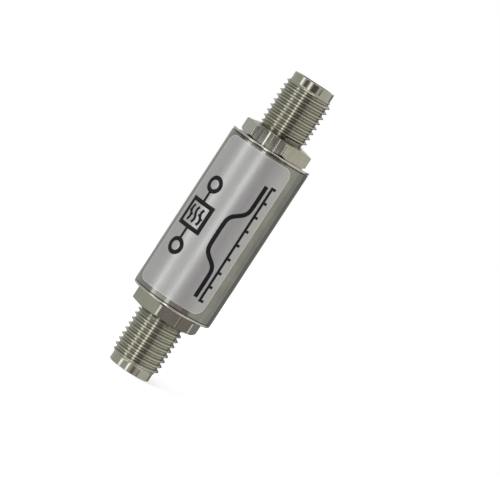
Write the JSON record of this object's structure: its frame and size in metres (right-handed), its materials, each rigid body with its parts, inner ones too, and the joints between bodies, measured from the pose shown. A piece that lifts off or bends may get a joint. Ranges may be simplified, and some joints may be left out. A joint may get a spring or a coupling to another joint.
{
  "type": "rf bandpass filter",
  "caption": "Tubular coaxial bandpass filter: a plated round housing with a front label and a hexagon-based threaded coaxial jack at each end.",
  "frame": {"origin": "middle of the lower jack's end face, where the filter stands", "axes": "+Z along the filter's axis towards the upper jack; -Y is the front, which carries the label"},
  "size_m": [0.0104, 0.0105, 0.0403],
  "materials": {
    "nickel_plating": "bright nickel plating over turned brass",
    "silver_foil": "satin silver label film",
    "white_insulator": "matte white fluoropolymer",
    "gold_plating": "gold plating over copper alloy",
    "board_laminate": "green circuit board laminate",
    "copper": "tinned copper foil",
    "fired_ceramic": "matte fired ceramic",
    "ferrite": "matte dark ferrite",
    "solder": "bright solder"
  },
  "bodies": {
    "root": {"housing_tube": "nickel_plating", "upper_end_cap": "nickel_plating", "lower_end_cap": "nickel_plating", "upper_connector_shell": "nickel_plating", "lower_connector_shell": "nickel_plating", "upper_insulator": "white_insulator", "lower_insulator": "white_insulator", "upper_centre_contact": "gold_plating", "lower_centre_contact": "gold_plating", "label": "silver_foil", "filter_board": "board_laminate", "ground_plane": "copper", "left_ground_pour": "copper", "right_ground_pour": "copper", "upper_track": "copper", "lower_track": "copper", "ceramic_filter": "fired_ceramic", "upper_capacitor": "fired_ceramic", "lower_capacitor": "fired_ceramic", "upper_inductor": "ferrite", "lower_inductor": "ferrite", "upper_contact_solder": "solder", "lower_contact_solder": "solder", "upper_ground_solder": "solder", "lower_ground_solder": "solder"}
  },
  "joints": []
}
